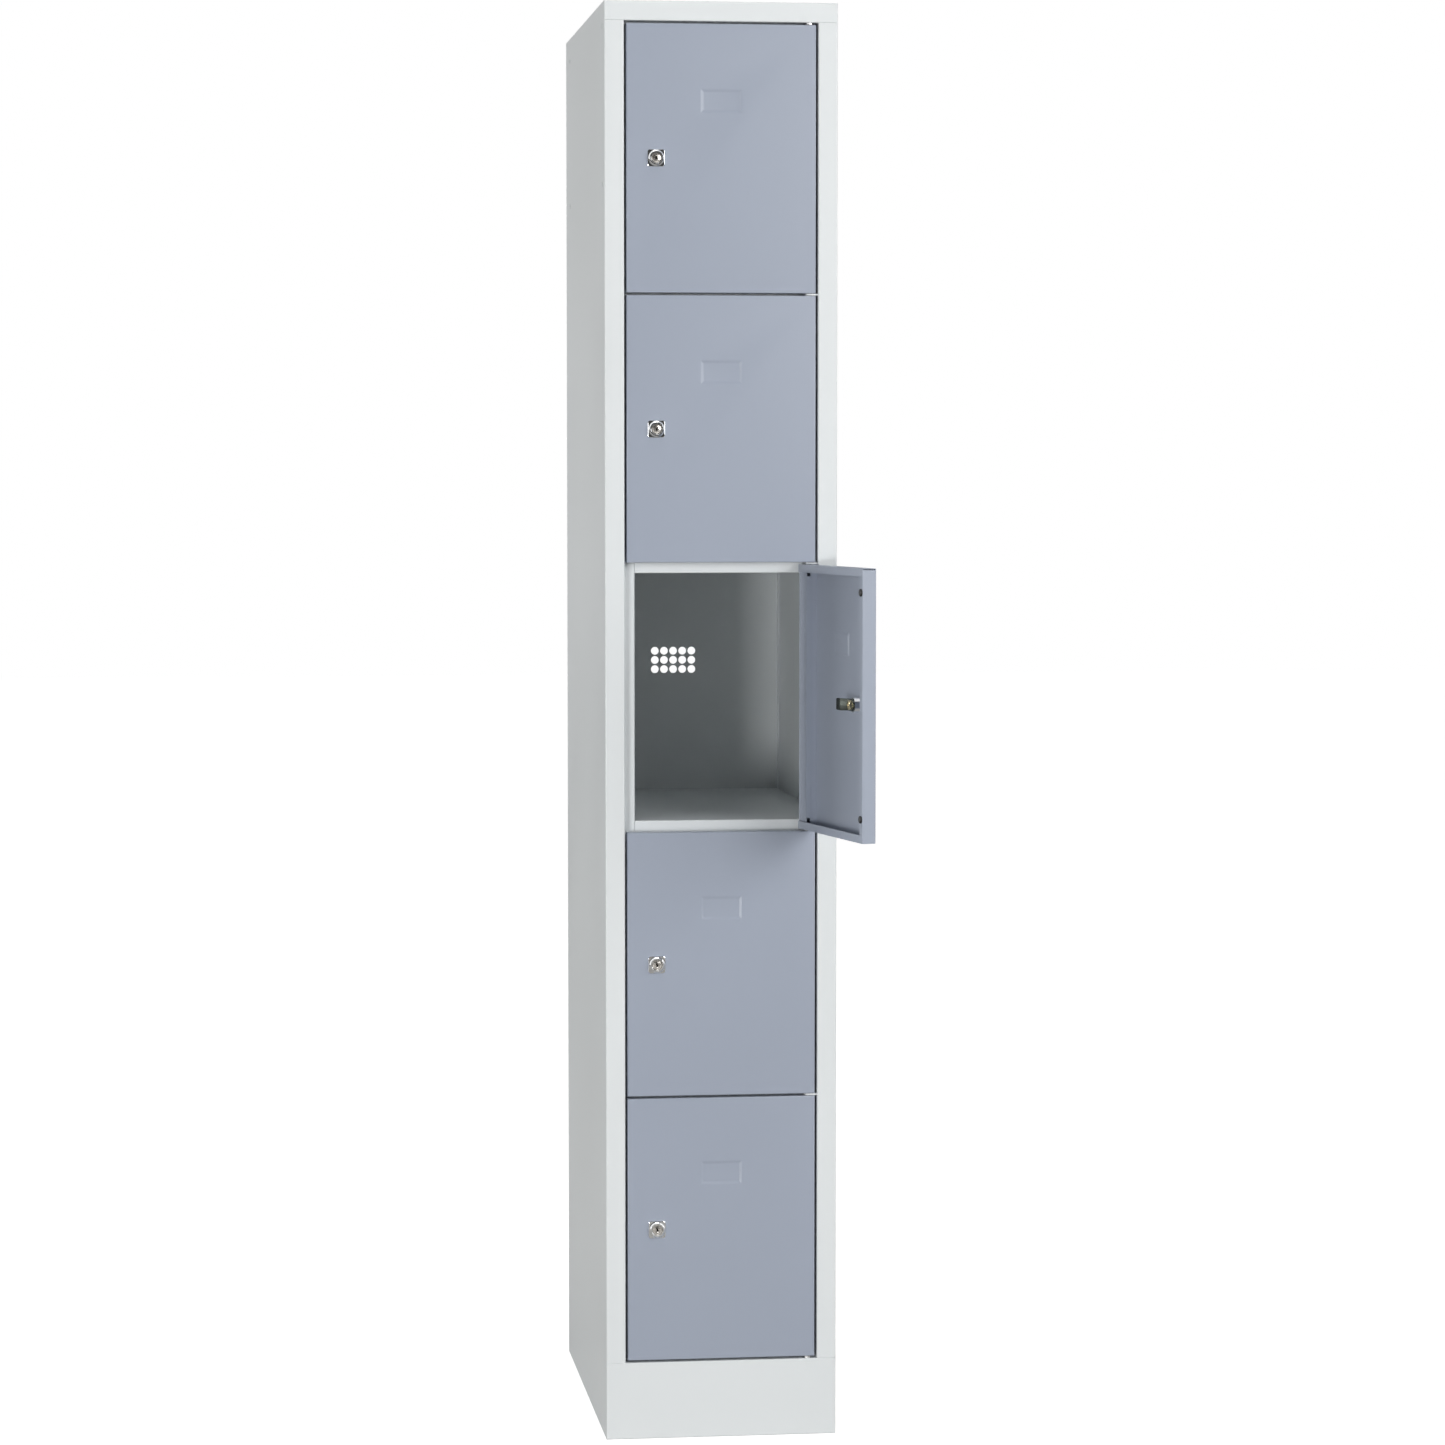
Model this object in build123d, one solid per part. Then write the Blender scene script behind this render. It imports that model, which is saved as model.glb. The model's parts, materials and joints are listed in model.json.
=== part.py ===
# Compartment locker: one column of five lockable compartments above a plinth, folded from steel sheet.
# Millimetres. +X is to the right, +Z is up and y is the distance behind the front face, so the
# origin is the middle of the front bottom edge. Doors hang on the right, and door 3 stands open.
from build123d import *
import os

# Whole carcass
overall_width = 300.0
overall_depth = 550.0
overall_height = 1850.0
compartment_count = 5
open_door = 3
open_angle = 101.0

# Sheet and folding
sheet = 0.8
bend = 1.6
overrun = 5.0

# Small round forms come by the dozen, so these are drawn with flats; pins and joining holes are round
small_sides = 8
lock_sides = 16

# Front frame
stile_width = 25.0
header_height = 25.0
plinth_height = 100.0
jamb_depth = 21.0
stop_width = 15.0
stop_hem = 2.5
rear_fold = 15.0
base_fold = 15.0
fold_setback = 14.0

# Holes for bolting neighbouring lockers together
joining_hole_diameter = 8.0
joining_hole_setback = 30.0
joining_hole_rear_setback = 60.0
joining_hole_drop = 30.0
joining_hole_spacing = 200.0

# Shelves and floor
stop_overlap = 11.0
shelf_hem = 7.0
shelf_flange = 20.0
shelf_flange_start = 32.0
hem_clearance = 1.0
top_flange = 15.0

# Rear panel and its vent holes
rear_side_flange = 15.0
vent_columns = 5
vent_rows = 3
vent_pitch = 13.0
vent_diameter = 11.0
vent_rise = 11.0

# Doors
door_gap = 3.0
door_depth = 18.0
lip_width = 10.0
hinge_wall_depth = 15.0
hinge_lip_width = 26.0
hinge_lip_fold = 5.5
stiffener_foot = 9.0
stiffener_end_gap = 2.0
fold_end_gap = 15.0
corner_slit = 1.2

# Pressed label recess
label_width = 53.0
label_height = 30.0
label_drop = 98.0
label_press = 1.3
label_slope = 3.2

# Hinges
pivot_inset = 8.5
pivot_depth = 6.5
pin_diameter = 5.0
pin_reach = 8.0
pin_running_clearance = 0.08
lug_thickness = 2.0
lug_radius = 4.5
lug_hole_clearance = 0.05
stud_collar_diameter = 9.0
bush_diameter = 7.6
bush_length = 5.0
bush_flange_diameter = 9.0
bush_rest_clearance = 0.1

# Rubber buffers
buffer_diameter = 9.5
buffer_bevel = 1.3
buffer_inset = 30.0
buffer_gap = 0.3

# Cam lock
lock_inset = 38.0
lock_plate = 22.0
lock_plate_thickness = 1.6
lock_boss_diameter = 20.6
lock_boss_height = 4.2
lock_boss_bevel = 1.4
lock_barrel_diameter = 19.0
lock_barrel_flats = 16.5
lock_barrel_length = 17.0
lock_hole_clearance = 0.15
nut_across_flats = 24.0
nut_thickness = 4.0
plug_diameter = 13.0
plug_recess = 0.6
plug_running_clearance = 0.08
keyhole_width = 2.0
keyhole_height = 6.0
keyhole_depth = 5.0
tenon_width = 7.0
cam_thickness = 2.0
cam_width = 15.0
cam_reach = 40.0
cam_root_length = 13.0
cam_crank_run = 6.0
cam_tip_corner = 2.0
cam_running_clearance = 0.3
cam_stop_clearance = 1.5
cam_hole_clearance = 0.1
cam_screw_across_flats = 10.0
cam_screw_head = 4.0

# Worked out from the sizes above
half_width = overall_width / 2
inner_half_width = half_width - sheet
opening_top = overall_height - header_height
opening_height = opening_top - plinth_height
opening_half_width = half_width - stile_width
clear_half_width = opening_half_width - stop_width
stop_depth = jamb_depth + stop_hem
rear_inner_face = overall_depth - 2 * sheet
door_width = 2 * (opening_half_width - door_gap)
door_height = (opening_height - (compartment_count + 1) * door_gap) / compartment_count
door_pitch = door_height + door_gap
stop_half_height = door_gap / 2 + stop_overlap
hinge_x = opening_half_width - door_gap - pivot_inset
lock_x = lock_inset - door_width / 2
notch_depth = max(stop_depth, jamb_depth + shelf_hem) + hem_clearance


def door_middle(number):
    """Height of the middle of a door; door 1 is the top one."""
    return opening_top - door_gap - door_height / 2 - (number - 1) * door_pitch


def gap_middle(number):
    """Height of the middle of the gap below a door."""
    return door_middle(number) - door_height / 2 - door_gap / 2


def floor_level(number):
    """Height of the surface that things stand on in a compartment."""
    return gap_middle(number) + stop_half_height


def block(x_range, y_range, z_range):
    """A rectangular solid from three (low, high) pairs."""
    sides = [high - low for low, high in (x_range, y_range, z_range)]
    centre = [(low + high) / 2 for low, high in (x_range, y_range, z_range)]
    return Pos(*centre) * Box(*sides)


def folded_section(points, thickness=sheet, radius=bend):
    """The section of a folded sheet. The points follow one face, and the sheet lies to their left."""
    face_line = FilletPolyline(*points, radius=radius)
    return make_face(offset(face_line, amount=thickness, side=Side.LEFT).edges())


def creased_section(points, thickness=sheet):
    """The same for small hidden folds, whose creases are drawn sharp."""
    face_line = Polyline(*points)
    return make_face(offset(face_line, amount=thickness, side=Side.LEFT, kind=Kind.INTERSECTION).edges())


def round_bar(diameter, sides=small_sides):
    """A round section drawn with flats; its corners lie on the circle."""
    return RegularPolygon(diameter / 2, sides)


def round_opening(diameter, sides=small_sides):
    """A round hole drawn with flats; the circle touches them from inside."""
    return RegularPolygon(diameter / 2, sides, major_radius=False)


def along_x(section, x_low, x_high):
    """Draws a (y, z) section out from x_low to x_high."""
    return Pos(x_low, 0, 0) * extrude(Plane.YZ * section, amount=x_high - x_low)


def mirrored(solid):
    """The same piece on the other side of the locker's middle plane."""
    return mirror(solid, about=Plane.YZ)


def both_sides(solid):
    """A left-hand and a right-hand copy of a solid."""
    return [solid, mirrored(solid)]


# The carcass


def side_panel():
    """Left side: wall, front stile, jamb, stop flange with its hem, rear fold and base fold."""
    plan = folded_section(
        [
            (rear_fold - half_width, overall_depth),
            (-half_width, overall_depth),
            (-half_width, 0),
            (-opening_half_width, 0),
            (-opening_half_width, jamb_depth),
            (-clear_half_width, jamb_depth),
            (-clear_half_width, stop_depth),
        ]
    )
    panel = extrude(plan, amount=overall_height)
    # The header and the plinth cover the front between the two walls, so the stile stops at them.
    stile_x = (-inner_half_width, -clear_half_width + overrun)
    stile_y = (-overrun, stop_depth + overrun)
    panel -= block(stile_x, stile_y, (opening_top, overall_height + overrun))
    panel -= block(stile_x, stile_y, (-overrun, plinth_height))
    panel += block(
        (-inner_half_width, base_fold - half_width),
        (base_fold + fold_setback, overall_depth - rear_side_flange - fold_setback),
        (0, sheet),
    )
    hole_rows = [overall_height - joining_hole_drop - step * joining_hole_spacing for step in range(2)]
    hole_columns = [joining_hole_setback, overall_depth - joining_hole_rear_setback]
    drill = extrude(Plane.YZ * Circle(joining_hole_diameter / 2), amount=overrun, both=True)
    for z in hole_rows:
        panel -= [Pos(-half_width, y, z) * drill for y in hole_columns]
    return panel


def top_panel():
    """Top plate folded down into the header, back under it as the jamb and down again as the stop lip."""
    stop_lip_bottom = opening_top - door_gap - stop_overlap
    section = folded_section(
        [
            (rear_inner_face, overall_height),
            (0, overall_height),
            (0, opening_top),
            (jamb_depth, opening_top),
            (jamb_depth, stop_lip_bottom),
            (jamb_depth + shelf_hem, stop_lip_bottom),
        ]
    )
    panel = along_x(section, -inner_half_width, inner_half_width)
    beside_stop = block(
        (clear_half_width, inner_half_width + overrun),
        (-overrun, jamb_depth + shelf_hem + overrun),
        (stop_lip_bottom - overrun, opening_top),
    )
    flange = block(
        (inner_half_width - sheet, inner_half_width),
        (shelf_flange_start, rear_inner_face - rear_side_flange - hem_clearance),
        (overall_height - top_flange, overall_height - sheet),
    )
    panel += rear_flange(overall_height, top_flange)
    return panel - both_sides(beside_stop) - both_sides(rear_notch(overall_height)) + both_sides(flange)


def rear_flange(top, drop):
    """The rear edge of a plate, turned down against the rear panel."""
    x_high = inner_half_width - bend
    return block((-x_high, x_high), (rear_inner_face - sheet, rear_inner_face), (top - drop, top - sheet))


def rear_notch(top):
    """What a plate leaves open on the right for the rear panel's side flange."""
    return block(
        (inner_half_width - bend, inner_half_width + overrun),
        (rear_inner_face - rear_side_flange - hem_clearance, rear_inner_face + overrun),
        (top - shelf_flange - overrun, top + overrun),
    )


def rear_panel():
    """Rear sheet with forward side flanges and a group of vent holes for each compartment."""
    plan = folded_section(
        [
            (inner_half_width, rear_inner_face - rear_side_flange),
            (inner_half_width, rear_inner_face + sheet),
            (-inner_half_width, rear_inner_face + sheet),
            (-inner_half_width, rear_inner_face - rear_side_flange),
        ]
    )
    panel = extrude(plan, amount=overall_height)
    hole = extrude(round_opening(vent_diameter), amount=overrun, both=True)
    for number in range(1, compartment_count + 1):
        ceiling = floor_level(number - 1) if number > 1 else overall_height
        middle = (floor_level(number) + ceiling) / 2 + vent_rise
        face = Plane(origin=(0, overall_depth - sheet, middle), x_dir=(1, 0, 0), z_dir=(0, -1, 0))
        grid = GridLocations(vent_pitch, vent_pitch, vent_columns, vent_rows)
        panel -= [face * place * hole for place in grid]
    return panel


def shelf_pan(top, lip_bottom):
    """A folded pan: plate, front stop lip with its hem, rear flange and side flanges."""
    section = folded_section(
        [
            (rear_inner_face, top),
            (jamb_depth, top),
            (jamb_depth, lip_bottom),
            (jamb_depth + shelf_hem, lip_bottom),
        ]
    )
    pan = along_x(section, -inner_half_width, inner_half_width)
    front_notch = block(
        (clear_half_width, inner_half_width + overrun),
        (jamb_depth - overrun, notch_depth),
        (lip_bottom - overrun, top + overrun),
    )
    flange = block(
        (inner_half_width - sheet, inner_half_width),
        (shelf_flange_start, rear_inner_face - rear_side_flange - hem_clearance),
        (top - shelf_flange, top - sheet),
    )
    pan += rear_flange(top, shelf_flange)
    return pan - both_sides(front_notch) - both_sides(rear_notch(top)) + both_sides(flange)


def shelf(number):
    """The shelf between a compartment and the next one down; its lip stops both doors."""
    return shelf_pan(floor_level(number), gap_middle(number) - stop_half_height)


def floor_panel():
    """The floor of the lowest compartment, standing on the plinth's top fold."""
    return shelf_pan(floor_level(compartment_count), plinth_height)


def plinth_front():
    """Plinth face with a top fold that carries the floor panel and a base fold on the ground."""
    section = folded_section(
        [
            (jamb_depth + shelf_hem, plinth_height),
            (0, plinth_height),
            (0, 0),
            (base_fold, 0),
        ]
    )
    return along_x(section, -inner_half_width, inner_half_width)


def hinge_lugs():
    """A flat lug on the right-hand jamb in each gap between two doors, bored for the pin."""
    reach = opening_half_width - hinge_x
    outline = round_bar(2 * lug_radius) + Pos(reach / 2, 0) * Rectangle(reach, 2 * lug_radius)
    outline -= round_opening(pin_diameter + 2 * lug_hole_clearance)
    lug = extrude(outline, amount=lug_thickness / 2, both=True)
    places = [Pos(hinge_x, pivot_depth, gap_middle(n)) for n in range(1, compartment_count)]
    return [place * lug for place in places]


def hinge_pins():
    """A pin through each lug, and a collared stud under the header and on the plinth."""
    pin = extrude(Circle(pin_diameter / 2), amount=door_gap / 2 + pin_reach, both=True)
    collar_height = (door_gap + lug_thickness) / 2
    stud = extrude(Circle(pin_diameter / 2), amount=door_gap + pin_reach)
    stud += extrude(round_bar(stud_collar_diameter), amount=collar_height)
    pins = [Pos(hinge_x, pivot_depth, gap_middle(n)) * pin for n in range(1, compartment_count)]
    top_stud = Pos(hinge_x, pivot_depth, opening_top) * Rot(180, 0, 0) * stud
    bottom_stud = Pos(hinge_x, pivot_depth, plinth_height) * stud
    return pins + [top_stud, bottom_stud]


# The door, drawn shut with its middle at height 0


door_face = Plane(origin=(0, 0, 0), x_dir=(1, 0, 0), z_dir=(0, -1, 0))
half_door = door_width / 2
half_door_height = door_height / 2


def behind_face(distance):
    """The plane of the door's face moved back by a distance; its normal points to the front."""
    return door_face.offset(-distance)


def bent_front(width, front, back, radius):
    """A section across the door: square at the back, with its two front corners rounded by a bend."""
    section = Pos(0, (front + back) / 2) * Rectangle(width, back - front)
    return fillet(section.vertices().sort_by(Axis.Y)[:2], radius)


def folded_block(width, height, front, back, radius):
    """A block whose four front edges are bends that meet in mitred corners."""
    across = extrude(bent_front(width, front, back, radius), amount=height / 2, both=True)
    upright = Plane(origin=(0, 0, 0), x_dir=(0, 0, 1), z_dir=(-1, 0, 0))
    return across & extrude(upright * bent_front(height, front, back, radius), amount=width / 2, both=True)


def label_pressing(width, height, surface):
    """The tapered block that the label die presses into the sheet from a given depth."""
    shrink = 2 * label_slope
    wide = behind_face(surface) * Rectangle(width, height)
    narrow = behind_face(surface + label_press) * Rectangle(width - shrink, height - shrink)
    return Pos(0, 0, half_door_height - label_drop) * loft([wide.face(), narrow.face()])


def lips():
    """The turned-in lips on the lock side, the top and the bottom."""
    ring = Rectangle(door_width - 2 * sheet, door_height - 2 * sheet)
    ring -= Pos(lip_width, 0) * Rectangle(door_width, door_height - 2 * lip_width)
    return extrude(behind_face(door_depth) * ring, amount=sheet)


def hinge_box():
    """The wide lip on the hinge side and its short fold, which close the door's box section."""
    fold_x = half_door - hinge_lip_width
    section = creased_section(
        [
            (half_door - sheet, hinge_wall_depth),
            (fold_x, hinge_wall_depth),
            (fold_x, hinge_wall_depth - hinge_lip_fold),
        ]
    )
    lip = extrude(section, amount=half_door_height - sheet, both=True)
    return lip - fold_ends()


def fold_ends():
    """What is cut from the short fold, and from the stiffener behind it, at the door's two ends."""
    fold_x = half_door - hinge_lip_width
    upper = block(
        (fold_x - overrun, fold_x + sheet + stiffener_foot),
        (hinge_wall_depth - hinge_lip_fold, hinge_wall_depth - sheet),
        (half_door_height - fold_end_gap, door_height),
    )
    return [upper, mirror(upper, about=Plane.XY)]


def hinge_side_cut():
    """Cuts the hinge-side wall back to its depth and mitres the ends of the top and bottom flanges."""
    mitre = door_depth - hinge_wall_depth
    corner = make_face(
        Polyline(
            (half_door, hinge_wall_depth),
            (half_door - mitre, door_depth),
            (half_door - mitre, door_depth + overrun),
            (half_door + overrun, door_depth + overrun),
            (half_door + overrun, hinge_wall_depth),
            close=True,
        )
    )
    return extrude(corner, amount=door_height, both=True)


def door_panel():
    """The door pan, its lips, the closed hinge side, the label recess and the holes for its fittings."""
    inside = [(sheet - half, half - sheet) for half in (half_door, half_door_height)]
    pan = folded_block(door_width, door_height, 0, door_depth, bend)
    pan -= block(inside[0], (sheet, door_depth + overrun), inside[1])
    pan += lips()
    pan -= hinge_side_cut()
    pan += hinge_box()
    pan += label_pressing(label_width, label_height, sheet)
    pan -= label_pressing(label_width, label_height, 0)
    pan -= block(
        (-half_door - overrun, sheet - half_door),
        (bend, door_depth + overrun),
        (half_door_height - sheet - corner_slit, half_door_height - sheet),
    )
    bush_hole = extrude(round_opening(bush_diameter), amount=door_height, both=True)
    pan -= Pos(hinge_x, pivot_depth, 0) * bush_hole
    lock_hole = flatted(Circle(lock_barrel_diameter / 2 + lock_hole_clearance), lock_hole_clearance)
    return pan - on_lock_axis(extrude(lock_hole, amount=overrun, both=True))


def stiffener():
    """A channel that stands between the skin and the hinge-side lip, behind the lip's fold."""
    wall_x = half_door - hinge_lip_width + sheet
    front = sheet
    back = hinge_wall_depth - sheet
    section = creased_section(
        [
            (wall_x + stiffener_foot, back),
            (wall_x, back),
            (wall_x, front),
            (wall_x + stiffener_foot, front),
        ]
    )
    channel = extrude(section, amount=half_door_height - stiffener_end_gap, both=True)
    return channel - fold_ends()


def hinge_bushes():
    """Flanged bushes in the top and bottom of the door, bored for the pins; the lower one carries it."""
    flange = (door_gap - lug_thickness) / 2 - bush_rest_clearance
    bush = extrude(round_opening(bush_diameter), amount=-bush_length)
    bush += extrude(round_bar(bush_flange_diameter), amount=flange)
    bore = round_opening(pin_diameter + 2 * pin_running_clearance)
    bush -= extrude(bore, amount=2 * bush_length, both=True)
    top = Pos(hinge_x, pivot_depth, half_door_height) * bush
    return [top, mirror(top, about=Plane.XY)]


def buffers():
    """Two rubber buffers with bevelled rims on the back of the lock-side lip."""
    disc = extrude(round_bar(buffer_diameter), amount=jamb_depth - door_depth - buffer_gap)
    disc = chamfer(disc.faces().sort_by(Axis.Z)[-1].edges(), buffer_bevel)
    x = lip_width / 2 - half_door
    z = half_door_height - buffer_inset
    return [Pos(x, door_depth, height) * Rot(-90, 0, 0) * disc for height in (z, -z)]


# The cam lock, drawn on the door's face with the lock's axis through the origin


def on_lock_axis(solid):
    """Moves a piece drawn on the lock's axis, front towards +Z, to its place in the door."""
    return door_face * Pos(lock_x, 0, 0) * solid


def flatted(round_form, clearance=0):
    """A round form with the barrel's two wide flats, which keep it from turning in the door."""
    return round_form & Rectangle(lock_barrel_flats + 2 * clearance, 2 * lock_barrel_diameter)


cam_root_front = lock_barrel_length + cam_running_clearance
cam_root_back = cam_root_front + cam_thickness
cam_tip_front = stop_depth + cam_stop_clearance
boss_front = lock_plate_thickness + lock_boss_height
plug_front = boss_front - plug_recess


def lock_housing():
    """Square head plate, round boss with a bevelled rim and the barrel that goes through the door."""
    plate = extrude(Rectangle(lock_plate, lock_plate), amount=lock_plate_thickness)
    boss = extrude(round_bar(lock_boss_diameter, lock_sides), amount=boss_front)
    boss = chamfer(boss.faces().sort_by(Axis.Z)[-1].edges(), lock_boss_bevel)
    barrel = extrude(flatted(round_bar(lock_barrel_diameter, lock_sides)), amount=-lock_barrel_length)
    bore = round_opening(plug_diameter + 2 * plug_running_clearance, lock_sides)
    return on_lock_axis(plate + boss + barrel - extrude(bore, amount=2 * lock_barrel_length, both=True))


def lock_nut():
    """The hexagonal nut that clamps the lock against the back of the skin."""
    hexagon = RegularPolygon(nut_across_flats / 2, 6, major_radius=False)
    bore = round_opening(lock_barrel_diameter + 2 * lock_hole_clearance)
    nut = extrude(hexagon - bore, amount=-nut_thickness)
    return on_lock_axis(Pos(0, 0, -sheet) * nut)


def lock_plug():
    """The plug that the key turns: keyhole at the front, square tenon for the cam at the back."""
    body = extrude(round_bar(plug_diameter, lock_sides), amount=plug_front)
    body += extrude(round_bar(plug_diameter, lock_sides), amount=-cam_root_front)
    tenon = extrude(Rectangle(tenon_width, tenon_width), amount=-cam_root_back)
    keyhole = Pos(0, 0, plug_front) * Box(keyhole_width, keyhole_height, 2 * keyhole_depth)
    return on_lock_axis(body + tenon - keyhole)


def lock_cam():
    """A cranked cam that points at the hinge side when the door is unlocked."""
    side_view = creased_section(
        [
            (cam_reach, -cam_tip_front),
            (cam_root_length + cam_crank_run, -cam_tip_front),
            (cam_root_length, -cam_root_front),
            (-cam_width / 2, -cam_root_front),
        ],
        thickness=cam_thickness,
    )
    blank = extrude(Plane.XZ * side_view, amount=cam_width / 2, both=True)
    arm = Pos(cam_reach / 2, 0) * Rectangle(cam_reach, cam_width)
    arm = chamfer(arm.vertices().sort_by(Axis.X)[-2:], cam_tip_corner)
    outline = round_bar(cam_width, lock_sides) + arm
    outline -= Rectangle(tenon_width + 2 * cam_hole_clearance, tenon_width + 2 * cam_hole_clearance)
    punched = extrude(outline, amount=-cam_tip_front - cam_thickness - overrun)
    return on_lock_axis(blank & punched)


def cam_screw():
    """The hexagon-headed screw that holds the cam on the plug."""
    hexagon = RegularPolygon(cam_screw_across_flats / 2, 6, major_radius=False)
    head = extrude(Pos(0, 0, -cam_root_back) * hexagon, amount=-cam_screw_head)
    return on_lock_axis(head)


# Assembly


def in_place(number, solid):
    """Lifts a piece of a door to its height, and swings the open door's pieces about its hinge."""
    raised = Pos(0, 0, door_middle(number)) * solid
    if number != open_door:
        return raised
    hinge = Pos(hinge_x, pivot_depth, 0)
    return hinge * Rot(0, 0, open_angle) * hinge.inverse() * raised


def solids_of(shape):
    """Every solid of a piece that may be a shape or a list of shapes."""
    shapes = shape if isinstance(shape, list) else [shape]
    return [solid for item in shapes for solid in item.solids()]


def write(name, shape):
    """Writes one node's STEP file."""
    solids = solids_of(shape)
    export_step(solids[0] if len(solids) == 1 else Compound(children=solids), f"parts/{name}.step")
    print(name, len(solids))


def carcass():
    """Every fixed piece by its node name."""
    left = side_panel()
    pieces = {
        "left_side_panel": left,
        "right_side_panel": mirrored(left),
        "top_panel": top_panel(),
        "rear_panel": rear_panel(),
        "floor_panel": floor_panel(),
        "plinth_front": plinth_front(),
        "hinge_lugs": hinge_lugs(),
        "hinge_pins": hinge_pins(),
    }
    for number in range(1, compartment_count):
        pieces[f"shelf_{number}"] = shelf(number)
    return pieces


def door():
    """Every piece of one door by the end of its node name."""
    return {
        "panel": door_panel(),
        "stiffener": stiffener(),
        "hinge_bushes": hinge_bushes(),
        "buffers": buffers(),
        "lock_housing": lock_housing(),
        "lock_nut": lock_nut(),
        "lock_plug": lock_plug(),
        "lock_cam": lock_cam(),
        "cam_screw": cam_screw(),
    }


os.makedirs("parts", exist_ok=True)
for name, piece in carcass().items():
    write(name, piece)
for name, piece in door().items():
    for number in range(1, compartment_count + 1):
        placed = [in_place(number, solid) for solid in solids_of(piece)]
        write(f"door_{number}_{name}", placed)
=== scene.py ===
# %% [markdown]
# # Compartment locker
# A tall steel locker column with five doors, seen from the front left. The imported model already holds
# every piece at its real size, so this script adds what the eye sees: paint, plated metal, rubber, the
# finely formed pieces, the light and the camera. It works in metres: x to the right, y away from the
# doors and z up, with the origin at the middle of the front bottom edge.

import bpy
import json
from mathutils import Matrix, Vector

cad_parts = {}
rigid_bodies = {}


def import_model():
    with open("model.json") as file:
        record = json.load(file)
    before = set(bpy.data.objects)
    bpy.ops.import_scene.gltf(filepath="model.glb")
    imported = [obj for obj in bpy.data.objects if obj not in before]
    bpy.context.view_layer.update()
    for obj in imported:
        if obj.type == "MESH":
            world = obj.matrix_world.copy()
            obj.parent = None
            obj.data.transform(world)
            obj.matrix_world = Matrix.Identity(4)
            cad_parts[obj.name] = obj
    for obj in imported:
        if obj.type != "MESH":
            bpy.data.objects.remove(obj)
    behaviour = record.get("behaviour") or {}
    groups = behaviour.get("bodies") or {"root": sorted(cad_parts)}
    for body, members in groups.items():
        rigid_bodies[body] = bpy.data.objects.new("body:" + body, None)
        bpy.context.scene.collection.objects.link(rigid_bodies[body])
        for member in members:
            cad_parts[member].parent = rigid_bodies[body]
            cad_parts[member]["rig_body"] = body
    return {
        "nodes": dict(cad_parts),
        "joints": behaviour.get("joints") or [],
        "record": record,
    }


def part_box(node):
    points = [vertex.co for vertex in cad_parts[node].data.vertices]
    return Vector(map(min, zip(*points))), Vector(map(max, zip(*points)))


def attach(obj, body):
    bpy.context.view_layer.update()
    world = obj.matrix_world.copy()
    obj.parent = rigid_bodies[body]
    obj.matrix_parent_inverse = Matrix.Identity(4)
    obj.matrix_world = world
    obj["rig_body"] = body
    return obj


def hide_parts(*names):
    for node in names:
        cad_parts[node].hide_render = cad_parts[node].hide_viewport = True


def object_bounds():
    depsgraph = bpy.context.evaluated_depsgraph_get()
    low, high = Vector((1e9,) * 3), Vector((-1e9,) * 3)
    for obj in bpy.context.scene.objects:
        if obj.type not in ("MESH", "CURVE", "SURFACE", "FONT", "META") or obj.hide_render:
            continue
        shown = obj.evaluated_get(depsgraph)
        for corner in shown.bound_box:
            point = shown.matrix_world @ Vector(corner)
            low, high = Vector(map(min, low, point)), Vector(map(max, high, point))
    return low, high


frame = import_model()
model_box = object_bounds()
print("width, depth and height", [round(side, 3) for side in model_box[1] - model_box[0]], "m")

# %% [markdown]
# ## What every cell uses
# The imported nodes, the joints between them, and the finish that the record gives each node.

# %% Nodes, joints and units
import json
from math import cos, hypot, pi, radians, sin

import bmesh
import bpy
from mathutils import Euler, Matrix, Vector

scene = bpy.context.scene
nodes = frame["nodes"]
joints = {joint["name"]: joint for joint in frame["joints"]}
SLOT_OF_NODE = {part["node"]: part["material_slot"] for part in frame["record"]["subparts"]}
DOORS = range(1, 6)
SHELVES = range(1, 5)
MM = 0.001

# %% [markdown]
# ## The camera
# The photograph was taken with a long lens. This camera stands a little over five metres away, a little to
# the left and about two thirds of the way up. A long lens keeps the verticals of a tall object almost
# parallel. Its place, its two angles and its lens were fitted to the photograph's edges with the model's
# own sizes, which are estimates, and with the lens looking through the middle of the picture.

# %% Camera
CAMERA_PLACE = Vector((-0.6681, -5.3016, 1.2561))
CAMERA_YAW = 0.1256
CAMERA_PITCH = -0.0609
FOCAL_LENGTH_IN_PIXELS = 4160.4
IMAGE_WIDTH_IN_PIXELS = 1445
SENSOR_WIDTH = 36

lens = bpy.data.cameras.new("photo_camera")
lens.sensor_width = SENSOR_WIDTH
lens.sensor_fit = "HORIZONTAL"
lens.lens = FOCAL_LENGTH_IN_PIXELS / IMAGE_WIDTH_IN_PIXELS * SENSOR_WIDTH
camera = bpy.data.objects.new("photo_camera", lens)
camera.location = CAMERA_PLACE
camera.rotation_euler = Euler((pi / 2 + CAMERA_PITCH, 0, -CAMERA_YAW), "XYZ")
scene.collection.objects.link(camera)
scene.camera = camera
print("lens", round(lens.lens, 2), "mm")

# %% [markdown]
# ## The studio
# The locker stands in a white studio, cut out against white. The floor is a pale plane that keeps the
# locker's shadow, and the world is white to the camera but only dim to matt surfaces, so the background
# is white without washing out the paint. Shiny metal shows a studio with white sides and ceiling and a
# dark end behind the camera: that is what gives chrome its bright rims and dark flats.


# %% What shiny metal shows
REFLECTED_STUDIO = [(0.0, 0.05), (0.12, 0.12), (0.24, 1.0), (0.62, 1.0), (0.85, 0.3), (1.0, 0.3)]


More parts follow.
